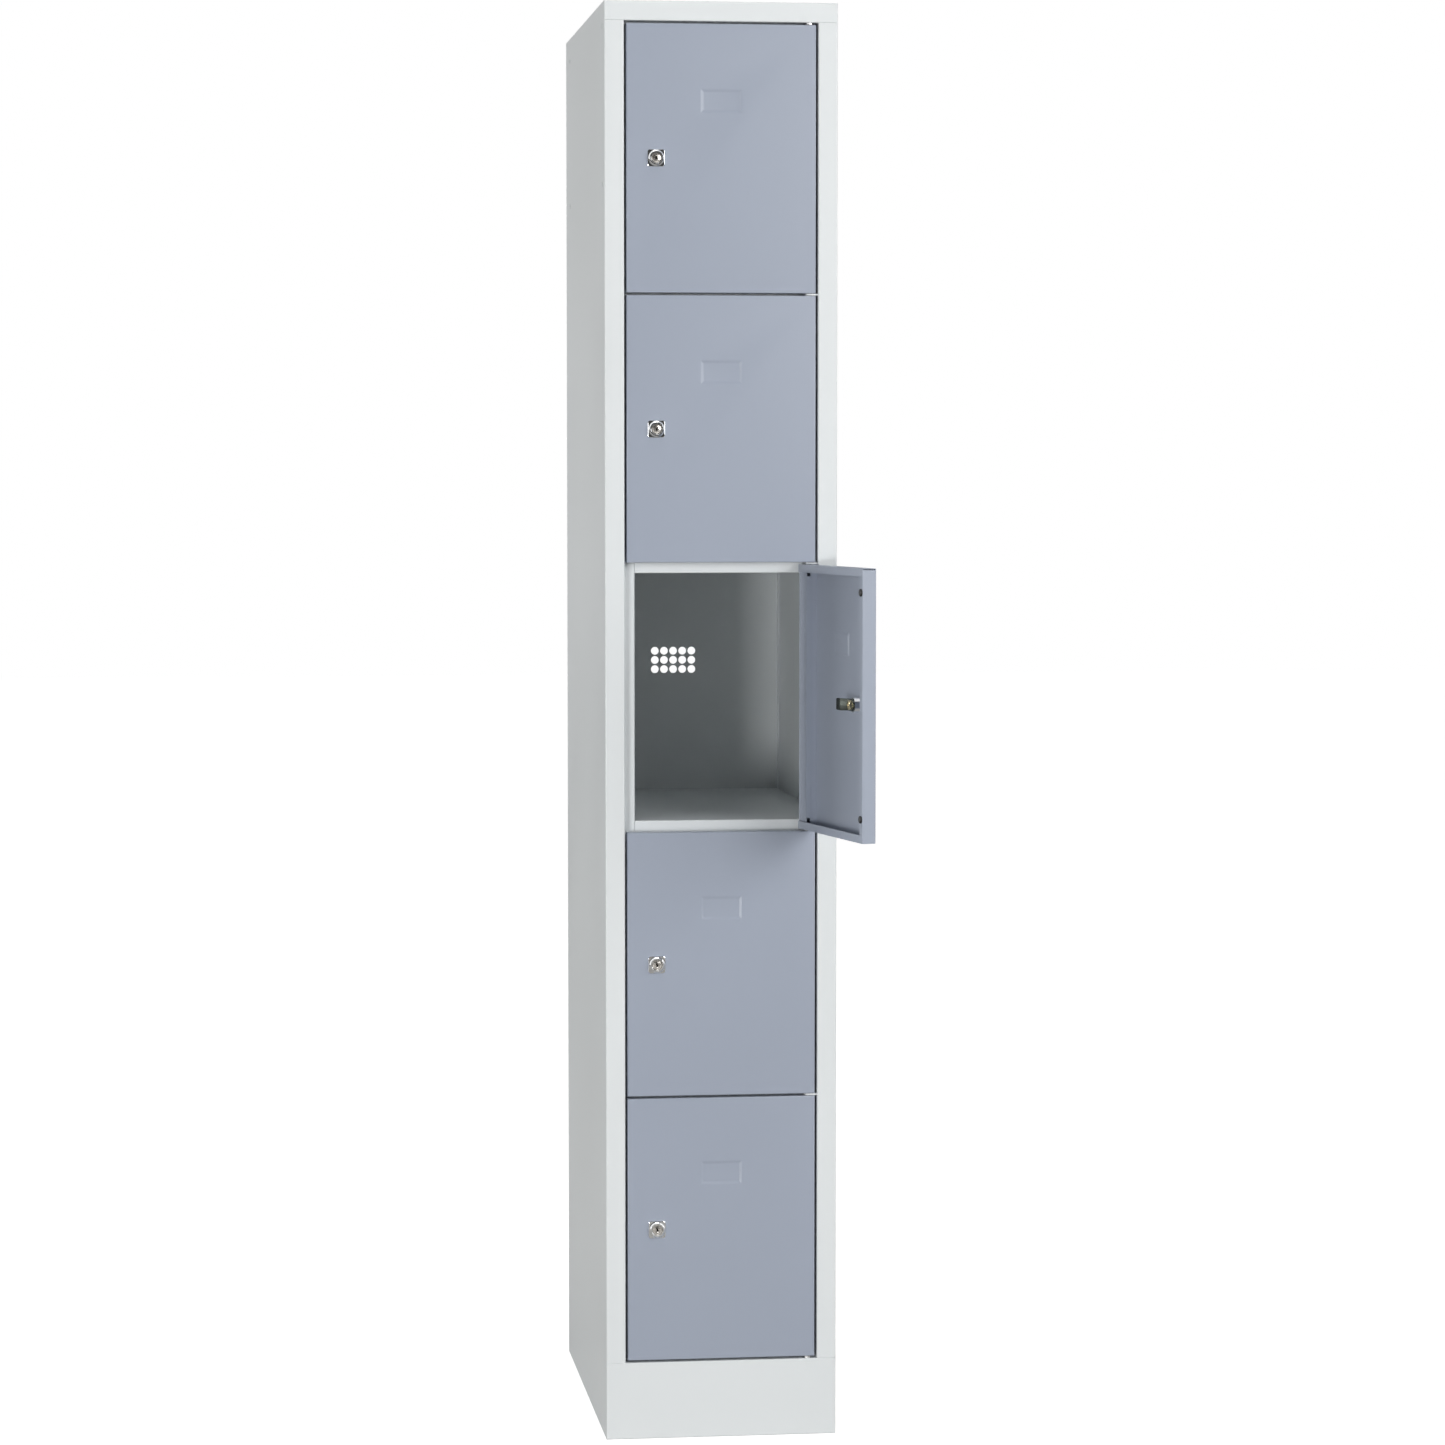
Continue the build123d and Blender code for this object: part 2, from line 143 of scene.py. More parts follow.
def studio_reflection(tree):
    """How bright the studio is in a mirror, from the dark end in front of the doors to the far end."""
    direction = tree.nodes.new("ShaderNodeTexCoord")
    parts = tree.nodes.new("ShaderNodeSeparateXYZ")
    tree.links.new(direction.outputs["Generated"], parts.inputs["Vector"])
    share = tree.nodes.new("ShaderNodeMapRange")
    share.inputs["From Min"].default_value = -1.0
    tree.links.new(parts.outputs["Y"], share.inputs["Value"])
    ramp = tree.nodes.new("ShaderNodeValToRGB")
    stops = ramp.color_ramp.elements
    while len(stops) < len(REFLECTED_STUDIO):
        stops.new(0.5)
    for stop, (position, level) in zip(stops, REFLECTED_STUDIO):
        stop.position = position
        stop.color = (level, level, level, 1)
    tree.links.new(share.outputs["Result"], ramp.inputs["Fac"])
    return ramp.outputs["Color"]


print("levels in the mirrored studio", [level for _, level in REFLECTED_STUDIO])

# %% World
WORLD_LIGHT = 0.12
WHITE = (1, 1, 1, 1)


def either(tree, choice, first, second):
    """The first shader where the choice is 0, and the second where it is 1."""
    mix = tree.nodes.new("ShaderNodeMixShader")
    tree.links.new(choice, mix.inputs["Fac"])
    tree.links.new(first, mix.inputs[1])
    tree.links.new(second, mix.inputs[2])
    return mix.outputs["Shader"]


def white_world(strength):
    """White to the camera, the studio's walls to mirrors, and an even dim light for the rest."""
    world = bpy.data.worlds.new("studio")
    world.use_nodes = True
    tree = world.node_tree
    tree.nodes.clear()
    paths = tree.nodes.new("ShaderNodeLightPath")
    seen = tree.nodes.new("ShaderNodeMath")
    seen.operation = "MAXIMUM"
    tree.links.new(paths.outputs["Is Camera Ray"], seen.inputs[0])
    tree.links.new(paths.outputs["Is Transmission Ray"], seen.inputs[1])
    even = tree.nodes.new("ShaderNodeBackground")
    even.inputs["Color"].default_value = WHITE
    even.inputs["Strength"].default_value = strength
    walls = tree.nodes.new("ShaderNodeBackground")
    tree.links.new(studio_reflection(tree), walls.inputs["Color"])
    white = tree.nodes.new("ShaderNodeBackground")
    white.inputs["Color"].default_value = WHITE
    glossy = paths.outputs["Is Glossy Ray"]
    mirrored = either(tree, glossy, even.outputs["Background"], walls.outputs["Background"])
    chosen = either(tree, seen.outputs["Value"], mirrored, white.outputs["Background"])
    output = tree.nodes.new("ShaderNodeOutputWorld")
    tree.links.new(chosen, output.inputs["Surface"])
    return world


scene.world = white_world(WORLD_LIGHT)
print("world light on matt surfaces", WORLD_LIGHT)

# %% Floor
FLOOR_SIZE = 40
FLOOR_COLOUR = (0.5, 0.49, 0.47, 1)
FLOOR_ROUGHNESS = 0.6
FLOOR_SPECULAR = 0.2
FLOOR_GLOW = 0.9


def flat_plane(name, size, place):
    """A square mesh plane of one face."""
    half = size / 2
    corners = [(-half, -half, 0), (half, -half, 0), (half, half, 0), (-half, half, 0)]
    mesh = bpy.data.meshes.new(name)
    mesh.from_pydata(corners, [], [(0, 1, 2, 3)])
    plane = bpy.data.objects.new(name, mesh)
    plane.location = place
    scene.collection.objects.link(plane)
    return plane


def studio_floor_material():
    """A pale floor that keeps the shadow and looks white to the camera where nothing shades it."""
    material = bpy.data.materials.new("studio_floor")
    material.use_nodes = True
    tree = material.node_tree
    shader = tree.nodes["Principled BSDF"]
    shader.inputs["Base Color"].default_value = FLOOR_COLOUR
    shader.inputs["Roughness"].default_value = FLOOR_ROUGHNESS
    shader.inputs["Specular IOR Level"].default_value = FLOOR_SPECULAR
    paths = tree.nodes.new("ShaderNodeLightPath")
    glow = tree.nodes.new("ShaderNodeEmission")
    glow.inputs["Color"].default_value = WHITE
    glow.inputs["Strength"].default_value = FLOOR_GLOW
    both = tree.nodes.new("ShaderNodeAddShader")
    tree.links.new(shader.outputs["BSDF"], both.inputs[0])
    tree.links.new(glow.outputs["Emission"], both.inputs[1])
    seen = paths.outputs["Is Camera Ray"]
    chosen = either(tree, seen, shader.outputs["BSDF"], both.outputs["Shader"])
    tree.links.new(chosen, tree.nodes["Material Output"].inputs["Surface"])
    return material


floor = flat_plane("studio_floor", FLOOR_SIZE, (0, 0, 0))
floor.data.materials.append(studio_floor_material())
print("floor", FLOOR_SIZE, "m wide")

# %% [markdown]
# ## The light
# The front is evenly bright, the left side is darker, and the open compartment is darker still. So the
# main light is a large soft panel on the right, and the open door keeps it out of its own compartment.
# What a smaller one nearer the camera sends in there falls mostly on the left wall, which the camera can't
# see. One panel behind and to the left of the locker lights its side, one from the front left lifts the
# inner skin of the open door, a low one reaches the right part of the rear panel, and one overhead
# stands for the studio's ceiling.


# %% Lamps
def soft_panel(name, place, aim, size, power):
    """A square area lamp that looks at a point."""
    lamp = bpy.data.lights.new(name, "AREA")
    lamp.size = size
    lamp.energy = power
    holder = bpy.data.objects.new(name, lamp)
    holder.location = place
    direction = Vector(aim) - Vector(place)
    holder.rotation_euler = direction.to_track_quat("-Z", "Y").to_euler()
    scene.collection.objects.link(holder)
    return holder


AIM = (0, 0.1, 0.9)
PLACE_WIDTH_AND_WATTS = {
    "key_panel": ((4.1, -3.4, 2.5), 2.8, 92),
    "second_panel": ((2.4, -4.9, 2.2), 1.6, 84),
    "side_panel": ((-3.2, 1.5, 1.15), 1.7, 47),
    "fill_panel": ((-3.6, -4.3, 1.0), 1.6, 34),
    "low_panel": ((-2.4, -5.0, 0.4), 0.7, 90),
    "ceiling_panel": ((0, -0.6, 5.0), 2.5, 45),
}

for lamp_name, (lamp_place, width, watts) in PLACE_WIDTH_AND_WATTS.items():
    soft_panel(lamp_name, lamp_place, AIM, width, watts)
    print(lamp_name, watts, "W")

# %% [markdown]
# ## Paint and metal
# Every finish is one small node tree: a base colour, a slight change of tone over a long distance, and for
# most of them a fine bump. Powder coat is never quite smooth, because the powder melts into a faint
# orange-peel texture. Chrome and brass are smooth, the other metal has a finer grain, and on the cam it is
# drawn out into upright scratches.

# %% Finish helper
DRIFT_SCALE = 3.0
DRIFT_DETAIL = 3.0
SHINIEST = 0.85
DULLEST = 1.15
GRAIN_DETAIL = 2.0
GRAIN_HEIGHT = 0.2 * MM


def finish(name, colour, roughness, metallic=0.0, tone=0.03, grain=0.0, grain_size=0.002, stretch=(1, 1, 1)):
    """A material with a slow tone change and, if it has a grain, a fine bump. Lengths are in metres."""
    material = bpy.data.materials.new(name)
    material.use_nodes = True
    tree = material.node_tree
    shader = tree.nodes["Principled BSDF"]
    shader.inputs["Metallic"].default_value = metallic
    place = tree.nodes.new("ShaderNodeTexCoord")
    drift = tree.nodes.new("ShaderNodeTexNoise")
    drift.inputs["Scale"].default_value = DRIFT_SCALE
    drift.inputs["Detail"].default_value = DRIFT_DETAIL
    tree.links.new(place.outputs["Object"], drift.inputs["Vector"])
    shade = tree.nodes.new("ShaderNodeMapRange")
    shade.inputs["To Min"].default_value = 1 - tone
    shade.inputs["To Max"].default_value = 1 + tone
    tree.links.new(drift.outputs["Fac"], shade.inputs["Value"])
    mixed = tree.nodes.new("ShaderNodeVectorMath")
    mixed.operation = "SCALE"
    mixed.inputs[0].default_value = colour
    tree.links.new(shade.outputs["Result"], mixed.inputs["Scale"])
    tree.links.new(mixed.outputs["Vector"], shader.inputs["Base Color"])
    rough = tree.nodes.new("ShaderNodeMapRange")
    rough.inputs["To Min"].default_value = roughness * SHINIEST
    rough.inputs["To Max"].default_value = roughness * DULLEST
    tree.links.new(drift.outputs["Fac"], rough.inputs["Value"])
    tree.links.new(rough.outputs["Result"], shader.inputs["Roughness"])
    if grain:
        scaled = tree.nodes.new("ShaderNodeMapping")
        scaled.inputs["Scale"].default_value = stretch
        tree.links.new(place.outputs["Object"], scaled.inputs["Vector"])
        peel = tree.nodes.new("ShaderNodeTexNoise")
        peel.inputs["Scale"].default_value = 1 / grain_size
        peel.inputs["Detail"].default_value = GRAIN_DETAIL
        tree.links.new(scaled.outputs["Vector"], peel.inputs["Vector"])
        bump = tree.nodes.new("ShaderNodeBump")
        bump.inputs["Strength"].default_value = grain
        bump.inputs["Distance"].default_value = GRAIN_HEIGHT
        tree.links.new(peel.outputs["Fac"], bump.inputs["Height"])
        tree.links.new(bump.outputs["Normal"], shader.inputs["Normal"])
    return material


# %% The locker's finishes
LIGHT_GREY = (0.735, 0.765, 0.775)
BLUE_GREY = (0.332, 0.37, 0.448)
CHROME = (0.86, 0.87, 0.88)
NICKEL = (0.74, 0.71, 0.67)
BRASS = (0.83, 0.7, 0.42)
BRIGHT_STEEL = (0.62, 0.62, 0.62)
DARK_STEEL = (0.085, 0.095, 0.085)
RUBBER = (0.006, 0.006, 0.007)
BLACK_PLASTIC = (0.02, 0.02, 0.02)
SHADOW = (0.004, 0.004, 0.004)
PAINT = dict(roughness=0.36, grain=0.1, grain_size=0.0016)
UPRIGHT_SCRATCHES = dict(grain=0.3, grain_size=0.001, stretch=(4, 4, 0.3))

FINISH_OF_SLOT = {
    "carcass_paint": finish("carcass_paint", LIGHT_GREY, **PAINT),
    "door_paint": finish("door_paint", BLUE_GREY, **PAINT),
    "lock_chrome": finish("lock_chrome", CHROME, 0.09, metallic=1.0, tone=0.02),
    "plug_nickel": finish("plug_nickel", NICKEL, 0.2, metallic=1.0, grain=0.03, grain_size=0.0004),
    "nut_brass": finish("nut_brass", BRASS, 0.16, metallic=1.0, tone=0.05),
    "pin_steel": finish("pin_steel", BRIGHT_STEEL, 0.3, metallic=1.0, grain=0.2, grain_size=0.0005),
    "cam_steel": finish("cam_steel", DARK_STEEL, 0.24, metallic=1.0, **UPRIGHT_SCRATCHES),
    "buffer_rubber": finish("buffer_rubber", RUBBER, 0.42, grain=0.2, grain_size=0.0005),
    "bush_plastic": finish("bush_plastic", BLACK_PLASTIC, 0.4, grain=0.1, grain_size=0.0004),
}

KEYWAY_SHADOW = finish("keyway_shadow", SHADOW, 0.7)

for node, slot_name in SLOT_OF_NODE.items():
    mesh = nodes[node].data
    mesh.materials.clear()
    mesh.materials.append(FINISH_OF_SLOT[slot_name])
print("finishes", *FINISH_OF_SLOT)

# %% [markdown]
# ## Places
# Door 1 is shut, so its pieces are drawn where door 1 has them and then carried to the other doors: a
# plain move down for the shut ones, and a turn about the hinge as well for the door that stands open.


# %% From door 1 to the others
def hinge_of(number):
    """The point of a door's hinge axis at the door's middle height."""
    return Vector(joints[f"door_{number}_hinge"]["pos_m"])


def door_place(number):
    """The matrix that carries a piece of door 1 to the same place in another door."""
    start, end = hinge_of(1), hinge_of(number)
    opened = -radians(joints[f"door_{number}_hinge"]["range_deg"][0])
    return Matrix.Translation(end) @ Matrix.Rotation(opened, 4, "Z") @ Matrix.Translation(-start)


LOCK_POINT = Vector(joints["lock_1_turn"]["pos_m"])
LOCK_FRAME = Matrix.Translation(LOCK_POINT) @ Matrix.Rotation(pi / 2, 4, "X")


def lock_place(number):
    """The frame of a door's lock: its axis towards the viewer is z, and x points at the hinge side."""
    return door_place(number) @ LOCK_FRAME


# %% [markdown]
# ## Pieces in place of CAD nodes
# A finer piece takes the body and the finish of the node that it stands for.


# %% Dressing a node
def dress(node, bm, place=None, soft_angle=40, second_finish=None):
    """Turns a mesh into a smooth-shaded piece that stands for a CAD node."""
    if place is not None:
        bmesh.ops.transform(bm, matrix=place, verts=bm.verts)
    bmesh.ops.recalc_face_normals(bm, faces=bm.faces)
    mesh = bpy.data.meshes.new(node + "_fine")
    bm.to_mesh(mesh)
    bm.free()
    mesh.shade_smooth()
    mesh.set_sharp_from_angle(angle=radians(soft_angle))
    mesh.materials.append(FINISH_OF_SLOT[SLOT_OF_NODE[node]])
    if second_finish is not None:
        mesh.materials.append(second_finish)
    piece = bpy.data.objects.new(node + "_fine", mesh)
    scene.collection.objects.link(piece)
    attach(piece, nodes[node]["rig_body"])
    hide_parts(node)
    return piece


# %% [markdown]
# ## Door panels
# A die presses the label recess into the skin, and sheet that is pressed has no sharp edges: the steps
# round over into the flat. The panel is the CAD's own sheet, welded into whole faces, with those edges
# rounded wide.

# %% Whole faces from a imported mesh
SAME_POINT = 0.002 * MM
SAME_PLANE = radians(0.2)


def welded(node):
    """A CAD node's mesh with its split corners joined and its flat triangles merged."""
    bm = bmesh.new()
    bm.from_mesh(nodes[node].data)
    bmesh.ops.remove_doubles(bm, verts=bm.verts, dist=SAME_POINT)
    bmesh.ops.dissolve_limit(bm, angle_limit=SAME_PLANE, verts=bm.verts, edges=bm.edges)
    return bm


def round_edges(bm, edges, radius, steps):
    """Rounds some edges of a mesh."""
    bmesh.ops.bevel(
        bm,
        geom=edges,
        offset=radius,
        offset_type="OFFSET",
        segments=steps,
        profile=0.5,
        affect="EDGES",
        clamp_overlap=True,
    )


def sharp_edges(bm, angle=40):
    """The edges at which two faces meet at more than an angle."""
    return [edge for edge in bm.edges if edge.is_manifold and edge.calc_face_angle(0) > radians(angle)]


# %% The pressed recess
LABEL_HALF_WIDTH = 26.5 * MM
LABEL_HALF_HEIGHT = 15 * MM
LABEL_RISE = 72.7 * MM
LABEL_BACK = 2.2 * MM
LABEL_ROUNDING = 1.1 * MM
LABEL_MARGIN = 0.1 * MM
CREASE_ANGLE = 5
SKIN_MIDDLE = Vector((0, 0, hinge_of(1).z))


def in_label(vertex):
    """Whether a corner of door 1's panel belongs to the label recess."""
    offset = vertex.co - SKIN_MIDDLE
    return (
        abs(offset.x) < LABEL_HALF_WIDTH + LABEL_MARGIN
        and abs(offset.z - LABEL_RISE) < LABEL_HALF_HEIGHT + LABEL_MARGIN
        and offset.y < LABEL_BACK
    )


def fine_door_panel(number):
    """A door's panel with a softly pressed recess."""
    node = f"door_{number}_panel"
    bm = welded(node)
    bmesh.ops.transform(bm, matrix=door_place(number).inverted(), verts=bm.verts)
    creases = [edge for edge in sharp_edges(bm, CREASE_ANGLE) if all(map(in_label, edge.verts))]
    round_edges(bm, creases, LABEL_ROUNDING, steps=4)
    return dress(node, bm, door_place(number), soft_angle=30)


for number in DOORS:
    panel = fine_door_panel(number)
    print(panel.name, "has", len(panel.data.polygons), "faces")

# %% [markdown]
# ## Turned and polygonal metal
# The lock's pieces, apart from the cam, are all drawn round one axis. A ring gives the distance from the
# axis at each angle, so a circle, a square, a hexagon, a barrel with flats and a keyhole are all rings
# with the same number of points, and a piece is a stack of rings joined by faces.

# %% Rings round an axis
RING_POINTS = 96
SMALLEST_COSINE = 0.001


def round_ring(radius):
    """A circle."""
    return lambda angle: radius


def polygon_ring(sides, inner_radius, turned=0.0):
    """A regular polygon that touches a circle of the inner radius."""
    sector = 2 * pi / sides
    return lambda angle: inner_radius / cos((angle - turned + sector / 2) % sector - sector / 2)


def soft_square_ring(size, corner):
    """A square whose corners are cut by a circle."""
    square = polygon_ring(4, size / 2)
    reach = hypot(size / 2, size / 2) - corner
    return lambda angle: min(square(angle), reach)


def flatted_ring(radius, flat):
    """A circle with two flats, at the left and the right."""
    return lambda angle: min(radius, flat / max(abs(cos(angle)), SMALLEST_COSINE))


def slot_ring(half_width, half_height, tilt):
    """A slot with round ends, turned a little from the upright."""
    straight = half_height - half_width

    def distance(angle):
        along, across = abs(sin(angle - tilt)), abs(cos(angle - tilt))
        side = half_width / max(across, SMALLEST_COSINE)
        if side * along <= straight:
            return side
        middle = straight * along
        return middle + (middle * middle - straight * straight + half_width * half_width) ** 0.5

    return distance


def stacked(rings, closed=False):
    """A mesh from (ring, height) pairs: closed into a loop, or capped at both ends."""
    bm = bmesh.new()
    angles = [2 * pi * step / RING_POINTS for step in range(RING_POINTS)]
    rows = []
    for ring, height in rings:
        row = []
        for angle in angles:
            reach = ring(angle)
            lift = height(reach) if callable(height) else height
            row.append(bm.verts.new((reach * cos(angle), reach * sin(angle), lift)))
        rows.append(row)
    pairs = list(zip(rows, rows[1:]))
    if closed:
        pairs.append((rows[-1], rows[0]))
    for low_row, high_row in pairs:
        for step in range(RING_POINTS):
            after = (step + 1) % RING_POINTS
            bm.faces.new((low_row[step], low_row[after], high_row[after], high_row[step]))
    if not closed:
        bm.faces.new(rows[0])
        bm.faces.new(rows[-1])
    return bm


def in_millimetres(bm):
    """Scales a mesh that was drawn in millimetres."""
    bmesh.ops.scale(bm, vec=(MM, MM, MM), verts=bm.verts)
    return bm


# %% [markdown]
# ## The lock head
# A square plate with soft corners, a round boss with a bright bevelled rim, and a threaded barrel with
# two flats that keep it from turning in the door.

# %% Lock housing
PLATE = 22.0
PLATE_THICKNESS = 1.6
PLATE_CORNER = 1.3
PLATE_ROUNDING = 0.5
ROUNDING_MIDDLE = 0.3
BOSS_RADIUS = 10.3
BOSS_FRONT = 5.8
BOSS_RIM = 1.7
RIM_SOFT_WIDTH = 0.1
RIM_SOFT_BACK = 0.2
RIM_SOFT_FRONT = 0.05
BORE_RADIUS = 6.58
GROOVE_DEPTH = 0.4
GROOVE_FRONT_WIDTH = 0.7
GROOVE_BACK_WIDTH = 0.45
BARREL_RADIUS = 9.5
BARREL_FLAT = 8.25
BARREL_LENGTH = 17.0
THREAD_PITCH = 1.0
THREAD_DEPTH = 0.35


def barrel_rings():
    """The threaded barrel from its back end to the plate."""
    crest = flatted_ring(BARREL_RADIUS, BARREL_FLAT)
    root = flatted_ring(BARREL_RADIUS - THREAD_DEPTH, BARREL_FLAT)
    turns = int(BARREL_LENGTH / THREAD_PITCH)
    rings = []
    for turn in range(turns):
        height = turn * THREAD_PITCH - BARREL_LENGTH
        rings += [(root, height), (crest, height + THREAD_PITCH / 2)]
    return rings + [(root, 0.0)]


def housing():
    """The whole housing as one closed skin, from the bore's back end round to its front end."""
    land = BOSS_RADIUS - BOSS_RIM
    rounded = ROUNDING_MIDDLE * PLATE_ROUNDING
    plate = [
        (soft_square_ring(PLATE, PLATE_CORNER), 0.0),
        (soft_square_ring(PLATE, PLATE_CORNER), PLATE_THICKNESS - PLATE_ROUNDING),
        (soft_square_ring(PLATE - 2 * rounded, PLATE_CORNER), PLATE_THICKNESS - rounded),
        (soft_square_ring(PLATE - 2 * PLATE_ROUNDING, PLATE_CORNER), PLATE_THICKNESS),
    ]
    boss = [
        (round_ring(BOSS_RADIUS), PLATE_THICKNESS),
        (round_ring(BOSS_RADIUS), BOSS_FRONT - BOSS_RIM),
        (round_ring(BOSS_RADIUS - RIM_SOFT_WIDTH), BOSS_FRONT - BOSS_RIM + RIM_SOFT_BACK),
        (round_ring(land + RIM_SOFT_WIDTH), BOSS_FRONT - RIM_SOFT_FRONT),
        (round_ring(land), BOSS_FRONT),
        (round_ring(BORE_RADIUS + GROOVE_FRONT_WIDTH), BOSS_FRONT),
        (round_ring(BORE_RADIUS + GROOVE_BACK_WIDTH), BOSS_FRONT - GROOVE_DEPTH),
        (round_ring(BORE_RADIUS), BOSS_FRONT - GROOVE_DEPTH),
        (round_ring(BORE_RADIUS), -BARREL_LENGTH),
    ]
    return stacked(barrel_rings() + plate + boss, closed=True)


print("the barrel has", int(BARREL_LENGTH / THREAD_PITCH), "turns of thread")

# %% [markdown]
# ## The plug, its keyhole and what is screwed on behind
# The key turns the plug. Its face has a slim slot with bevelled lips, and its square end carries the cam,
# which a hexagonal screw holds. The nut that clamps the housing has the bevelled corners of a turned nut.

# %% Plug
PLUG_RADIUS = 6.5
PLUG_FRONT = 5.2
PLUG_CHAMFER = 0.5
FACE_RIM = 1.0
FACE_DISH = 1.4
FACE_DISH_DEPTH = 0.35
FACE_SWELL_RADIUS = 4.3
FACE_SWELL_DEPTH = 0.2
SLOT_HALF_WIDTH = 0.95
SLOT_HALF_HEIGHT = 2.4
SLOT_DEPTH = 5.0
SLOT_LIP = 0.9
SLOT_TILT = radians(16)
TENON = 7.0
TENON_CORNER = 0.4
CAM_FRONT = 17.3
CAM_BACK = 19.3
HAIR = 0.01


def plug():
    """The plug from its tenon to the bottom of its keyhole, whose walls lie in shadow."""
    tenon = soft_square_ring(TENON, TENON_CORNER)
    slot = slot_ring(SLOT_HALF_WIDTH, SLOT_HALF_HEIGHT, SLOT_TILT)
    lips = slot_ring(SLOT_HALF_WIDTH + SLOT_LIP, SLOT_HALF_HEIGHT + SLOT_LIP, SLOT_TILT)
    body = stacked(
        [
            (tenon, -CAM_BACK),
            (tenon, -CAM_FRONT),
            (round_ring(PLUG_RADIUS), -CAM_FRONT),
            (round_ring(PLUG_RADIUS), PLUG_FRONT - PLUG_CHAMFER),
            (round_ring(PLUG_RADIUS - PLUG_CHAMFER), PLUG_FRONT),
            (round_ring(PLUG_RADIUS - FACE_RIM), PLUG_FRONT),
            (round_ring(PLUG_RADIUS - FACE_DISH), PLUG_FRONT - FACE_DISH_DEPTH),
            (round_ring(FACE_SWELL_RADIUS), PLUG_FRONT - FACE_SWELL_DEPTH),
            (lips, PLUG_FRONT),
            (slot, PLUG_FRONT - SLOT_LIP),
            (slot, PLUG_FRONT - SLOT_DEPTH),
        ]
    )
    for face in body.faces:
        heights = [corner.co.z for corner in face.verts]
        reach = max(hypot(corner.co.x, corner.co.y) for corner in face.verts)
        deep = 0 < min(heights) and max(heights) < PLUG_FRONT - SLOT_LIP + HAIR
        if deep and reach < SLOT_HALF_HEIGHT + HAIR:
            face.material_index = 1
    return body


print("the plug is", PLUG_FRONT + CAM_BACK, "mm long")

# %% Nut and screw
NUT_FLAT = 12.0
NUT_THICKNESS = 4.0
NUT_BORE = 9.65
SKIN = 0.8
SCREW_FLAT = 5.0
SCREW_HEAD = 4.0
CORNER_SLOPE = 0.5
FACE_INSET = 0.1
DIMPLE_RADIUS = 1.6
DIMPLE_BOTTOM_RADIUS = 1.0
DIMPLE_DEPTH = 0.5


def bevelled_corners(level, inner_radius, direction):
    """A height that falls away towards a polygon's corners, as on a turned nut."""
    return lambda reach: level - direction * max(reach - inner_radius, 0) * CORNER_SLOPE


def nut():
    """The clamping nut behind the door's skin."""
    front, back = -SKIN, -SKIN - NUT_THICKNESS
    hexagon = polygon_ring(6, NUT_FLAT)
    return stacked(
        [
            (round_ring(NUT_BORE), back),
            (round_ring(NUT_FLAT - FACE_INSET), back),
            (hexagon, bevelled_corners(back, NUT_FLAT, -1)),
            (hexagon, bevelled_corners(front, NUT_FLAT, 1)),
            (round_ring(NUT_FLAT - FACE_INSET), front),
            (round_ring(NUT_BORE), front),
        ],
        closed=True,
    )


def screw():
    """The cam screw's head, with a small turned dimple."""
    back = -CAM_BACK - SCREW_HEAD
    hexagon = polygon_ring(6, SCREW_FLAT)
    return stacked(
        [
            (hexagon, -CAM_BACK),
            (hexagon, bevelled_corners(back, SCREW_FLAT, -1)),
            (round_ring(SCREW_FLAT - FACE_INSET), back),
            (round_ring(DIMPLE_RADIUS), back),
            (round_ring(DIMPLE_BOTTOM_RADIUS), back + DIMPLE_DEPTH),
        ]
    )


print("nut", 2 * NUT_FLAT, "mm and screw", 2 * SCREW_FLAT, "mm across the flats")

# %% [markdown]
# ## The buffers
# Moulded rubber is domed, and its rim is rounded.

# %% Buffers
BUFFER_PROFILE = [(4.75, 0.0), (4.75, 1.1), (4.6, 1.6), (4.1, 2.1), (3.2, 2.45), (1.9, 2.65), (0.6, 2.7)]


def buffer_domes():
    """Both domes of door 1, on the back of its lock-side lip."""
    box_low, box_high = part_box("door_1_buffers")
    radius = (box_high.x - box_low.x) / 2
    pair = bmesh.new()
    for height in (box_low.z + radius, box_high.z - radius):
        dome = in_millimetres(stacked([(round_ring(reach), lift) for reach, lift in BUFFER_PROFILE]))
        place = Matrix.Translation((box_low.x + radius, box_low.y, height)) @ Matrix.Rotation(-pi / 2, 4, "X")
        bmesh.ops.transform(dome, matrix=place, verts=dome.verts)
        holder = bpy.data.meshes.new("dome")
        dome.to_mesh(holder)
        dome.free()
        pair.from_mesh(holder)
    return pair


# %% [markdown]
# ## The cam
# A cranked steel strip, whose free end is moved back here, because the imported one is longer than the
# photograph shows it. Its stamped edges are rounded.

# %% The cam
CAM_TIP_START = 28 * MM
CAM_TIP_SHORTER = 6.5 * MM
CAM_ROUNDING = 0.35 * MM


def cam(number):
    """A door's cranked cam, cut as short as the photograph shows it, with its stamped edges rounded."""
    bm = welded(f"door_{number}_lock_cam")
    turned = lock_place(number)
    bmesh.ops.transform(bm, matrix=turned.inverted(), verts=bm.verts)
    for corner in bm.verts:
        if corner.co.x > CAM_TIP_START:
            corner.co.x -= CAM_TIP_SHORTER
    round_edges(bm, sharp_edges(bm), CAM_ROUNDING, steps=3)
    bmesh.ops.transform(bm, matrix=turned, verts=bm.verts)
    return bm


# %% The five doors' fittings
for number in DOORS:
    place = lock_place(number)
    plug_mesh = in_millimetres(plug())
    dress(f"door_{number}_lock_housing", in_millimetres(housing()), place, soft_angle=15)
    dress(f"door_{number}_lock_plug", plug_mesh, place, soft_angle=25, second_finish=KEYWAY_SHADOW)
    dress(f"door_{number}_lock_nut", in_millimetres(nut()), place, soft_angle=25)
    dress(f"door_{number}_cam_screw", in_millimetres(screw()), place, soft_angle=25)
    dress(f"door_{number}_buffers", buffer_domes(), door_place(number), soft_angle=50)
    dress(f"door_{number}_lock_cam", cam(number))
    print("lock", number, "at", [round(side, 3) for side in place.translation], "m")

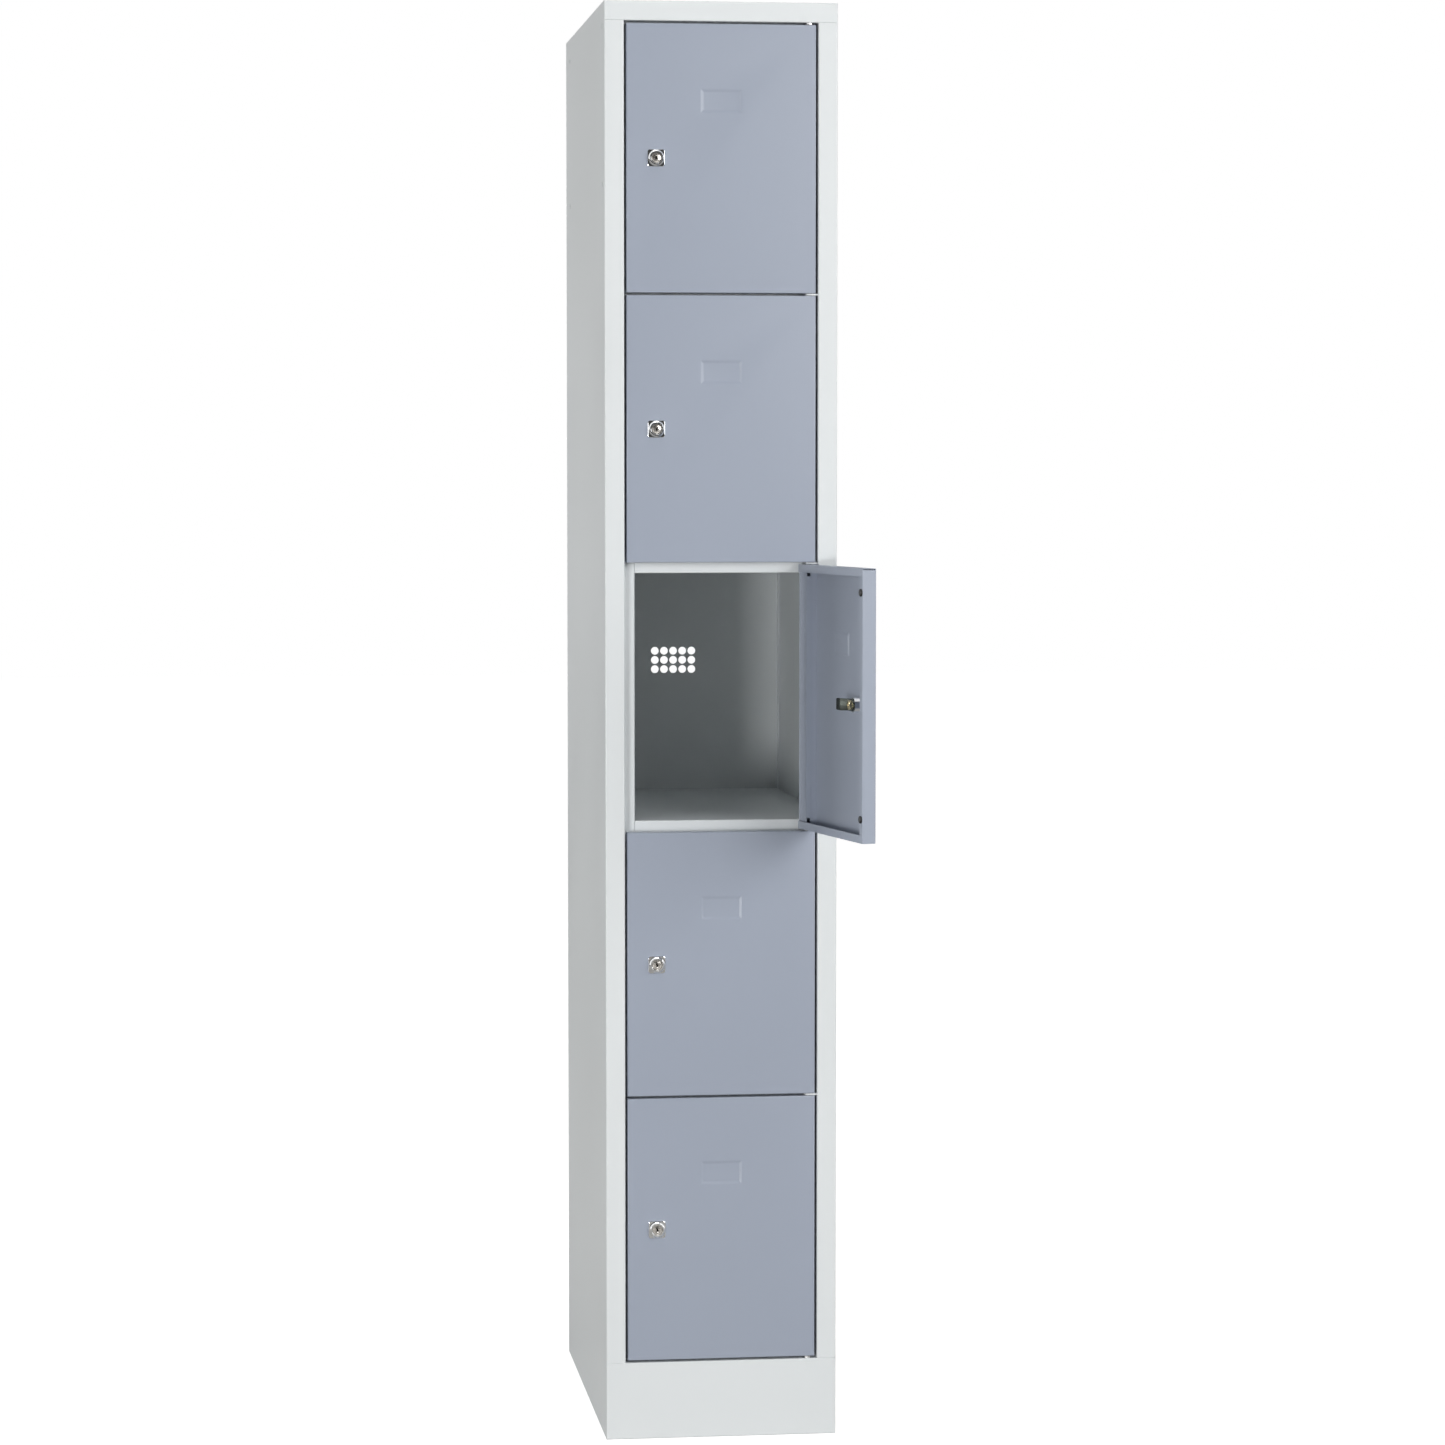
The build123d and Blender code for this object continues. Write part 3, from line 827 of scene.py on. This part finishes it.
# %% [markdown]
# ## The pierced rear panel
# The vents are punched round. The sheet's side folds stay as the CAD has them, and its flat middle is
# filled anew between the outer edge and the circles.

# %% Rear panel
VENT_COLUMNS = 5
VENT_ROWS = 3
VENT_PITCH = 13 * MM
VENT_RADIUS = 5.5 * MM
VENT_RISE = 11 * MM
VENT_POINTS = 40
FOLD_RADIUS = 1.6 * MM
SHEET = 0.8 * MM
FOLD_MARGIN = 0.05 * MM


def vent_centres():
    """Where the vents are, as (x, z) pairs: one group a little above the middle of each compartment."""
    levels = [model_box[1].z, *(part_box(f"shelf_{number}")[1].z for number in SHELVES)]
    levels.append(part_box("floor_panel")[1].z)
    centres = []
    for ceiling, ground in zip(levels, levels[1:]):
        middle = (ceiling + ground) / 2 + VENT_RISE
        for column in range(VENT_COLUMNS):
            for row in range(VENT_ROWS):
                x = (column - (VENT_COLUMNS - 1) / 2) * VENT_PITCH
                z = middle + (row - (VENT_ROWS - 1) / 2) * VENT_PITCH
                centres.append((x, z))
    return centres


def loop_of(bm, points):
    """A closed ring of edges through some points."""
    corners = [bm.verts.new(point) for point in points]
    return [bm.edges.new(pair) for pair in zip(corners, corners[1:] + corners[:1])]


def pierced_sheet(bm, x_high, z_high, y_inner):
    """Adds the flat middle of the sheet, with its holes, to a mesh."""
    plate = bmesh.new()
    outline = [(-x_high, 0), (x_high, 0), (x_high, z_high), (-x_high, z_high)]
    edges = loop_of(plate, [(x, y_inner, z) for x, z in outline])
    turns = [2 * pi * step / VENT_POINTS for step in range(VENT_POINTS)]
    for x, z in vent_centres():
        ring = [(x + VENT_RADIUS * cos(turn), y_inner, z + VENT_RADIUS * sin(turn)) for turn in turns]
        edges += loop_of(plate, ring)
    bmesh.ops.triangle_fill(plate, use_beauty=True, edges=edges)
    back = bmesh.ops.extrude_face_region(plate, geom=plate.faces[:])
    moved = [item for item in back["geom"] if isinstance(item, bmesh.types.BMVert)]
    bmesh.ops.translate(plate, verts=moved, vec=(0, SHEET, 0))
    holder = bpy.data.meshes.new("pierced_sheet")
    plate.to_mesh(holder)
    plate.free()
    bm.from_mesh(holder)


rear_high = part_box("rear_panel")[1]
flat_limit = rear_high.x - FOLD_RADIUS
rear = welded("rear_panel")
flat_faces = [face for face in rear.faces if all(abs(v.co.x) < flat_limit + FOLD_MARGIN for v in face.verts)]
bmesh.ops.delete(rear, geom=flat_faces, context="FACES")
pierced_sheet(rear, flat_limit, rear_high.z, rear_high.y - SHEET)
dress("rear_panel", rear, soft_angle=30)
print("vents", len(vent_centres()))

# %% [markdown]
# ## Look
# The colours go to the picture as they are.

# %% Look
scene.view_settings.view_transform = "Standard"
